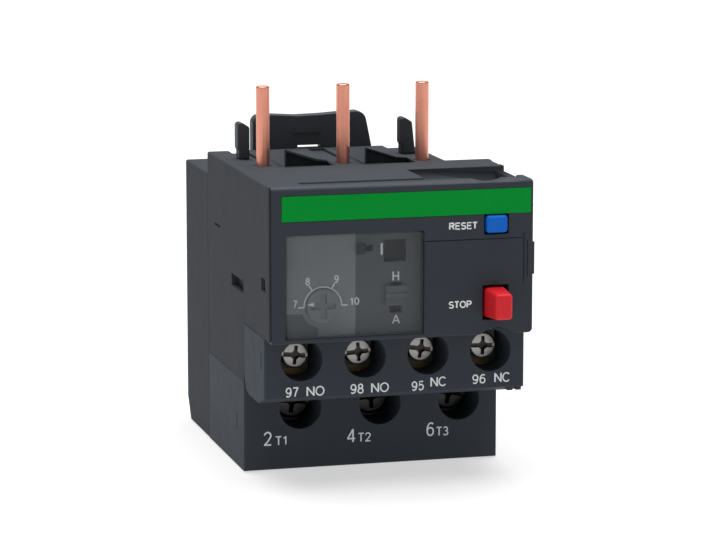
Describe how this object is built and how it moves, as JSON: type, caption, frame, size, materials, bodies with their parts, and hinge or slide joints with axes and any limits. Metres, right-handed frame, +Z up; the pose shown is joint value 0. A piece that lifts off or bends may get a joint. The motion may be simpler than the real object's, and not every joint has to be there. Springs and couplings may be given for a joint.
{
  "type": "thermal overload relay",
  "caption": "Anthracite block with a windowed front, two push buttons, screw terminals below, pins, hooks and a latch plate on top, and bimetal trip works inside.",
  "frame": {"origin": "bottom centre of the bounding box, on the surface that the relay's foot stands on", "axes": "+Z up along the line pins, the front cover faces -Y, +X to the right as seen from the front"},
  "size_m": [0.0454, 0.07, 0.0651],
  "materials": {
    "side_plastic": "fine-grained anthracite moulding",
    "front_plastic": "smooth dark anthracite moulding",
    "terminal_plastic": "smooth near-black moulding",
    "hook_plastic": "near-black moulding",
    "green_strip": "plain green, bare",
    "plate_grey": "grey printed plate",
    "window_clear": "smoky clear plastic",
    "dial_grey": "grey",
    "flag_dark": "dark",
    "reset_blue": "blue, satin",
    "stop_red": "red, satin",
    "copper": "bare copper",
    "nickel": "nickel plated",
    "spring_steel": "spring wire",
    "bimetal": "rolled bimetal",
    "heater_sleeve": "glass-fibre sleeve and heater band",
    "mechanism_plastic": "off-white insulating moulding",
    "contact_brass": "brass strip"
  },
  "bodies": {
    "case": {"case_body": "side_plastic", "rear_base": "side_plastic", "power_terminal_block": "terminal_plastic", "aux_terminal_block": "terminal_plastic", "front_cover": "front_plastic", "label_strip": "green_strip", "setting_plate": "plate_grey", "reset_spring": "spring_steel", "stop_spring": "spring_steel", "trip_spring": "spring_steel", "mechanism_plate": "mechanism_plastic", "line_pin_1": "copper", "line_pin_2": "copper", "line_pin_3": "copper", "bimetal_strip_1": "bimetal", "bimetal_strip_2": "bimetal", "bimetal_strip_3": "bimetal", "heater_winding_1": "heater_sleeve", "heater_winding_2": "heater_sleeve", "heater_winding_3": "heater_sleeve", "load_busbar_1": "copper", "load_busbar_2": "copper", "load_busbar_3": "copper", "aux_terminal_screws": "nickel", "power_terminal_screws": "nickel", "aux_clamp_washers": "nickel", "power_clamp_washers": "nickel", "no_lead_97": "contact_brass", "no_lead_98": "contact_brass", "nc_lead_95": "contact_brass", "nc_lead_96": "contact_brass", "lever_pivot_pin": "nickel", "latch_plate": "hook_plastic", "left_hook": "hook_plastic", "right_hook": "hook_plastic"},
    "flap": {"window_flap": "window_clear"},
    "dial": {"setting_dial": "dial_grey", "dial_cam": "mechanism_plastic"},
    "selector": {"mode_selector": "dial_grey"},
    "test": {"test_slider": "flag_dark"},
    "flag": {"trip_flag": "flag_dark"},
    "reset": {"reset_button": "reset_blue"},
    "stop": {"stop_button": "stop_red"},
    "bar": {"slide_bar": "mechanism_plastic"},
    "lever": {"trip_lever": "mechanism_plastic", "compensating_strip": "bimetal"},
    "carrier": {"contact_carrier": "mechanism_plastic", "no_contact_blade": "contact_brass", "nc_contact_blade": "contact_brass"}
  },
  "joints": [
    {"name": "flap_hinge", "type": "hinge", "parent": "case", "child": "flap", "pos_m": [-0.0193, -0.0295, 0.0349], "axis": [0, 0, -1], "range_deg": [0, 100]},
    {"name": "dial_turn", "type": "hinge", "parent": "case", "child": "dial", "pos_m": [-0.01315, -0.0279, 0.0312], "axis": [0, 1, 0], "range_deg": [0, 180]},
    {"name": "selector_slide", "type": "slide", "parent": "case", "child": "selector", "axis": [0, 0, 1], "range_m": [-0.0011, 0]},
    {"name": "test_slide", "type": "slide", "parent": "case", "child": "test", "axis": [1, 0, 0], "range_m": [0, 0.001], "stiffness_N_per_m": 200, "springref_m": -0.0005},
    {"name": "reset_press", "type": "slide", "parent": "case", "child": "reset", "axis": [0, 1, 0], "range_m": [0, 0.002], "stiffness_N_per_m": 600, "springref_m": -0.0005, "deforming": ["reset_spring"]},
    {"name": "stop_press", "type": "slide", "parent": "case", "child": "stop", "axis": [0, 1, 0], "range_m": [0, 0.0025], "stiffness_N_per_m": 600, "springref_m": -0.0005, "deforming": ["stop_spring"]},
    {"name": "bar_slide", "type": "slide", "parent": "case", "child": "bar", "axis": [1, 0, 0], "range_m": [0, 0.0015]},
    {"name": "lever_turn", "type": "hinge", "parent": "case", "child": "lever", "pos_m": [0.01625, -0.01, 0.039], "axis": [0, 0, -1], "range_deg": [0, 14.33]},
    {"name": "carrier_slide", "type": "slide", "parent": "case", "child": "carrier", "axis": [0, 1, 0], "range_m": [0, 0.002], "deforming": ["trip_spring"]},
    {"name": "flag_slide", "type": "slide", "parent": "case", "child": "flag", "axis": [1, 0, 0], "range_m": [0, 0.003]}
  ],
  "couplings": [
    {"joint": "lever_turn", "follows": "bar_slide", "rad_per_m": 166.67},
    {"joint": "carrier_slide", "follows": "bar_slide", "ratio": 1.3333},
    {"joint": "flag_slide", "follows": "bar_slide", "ratio": 2}
  ]
}
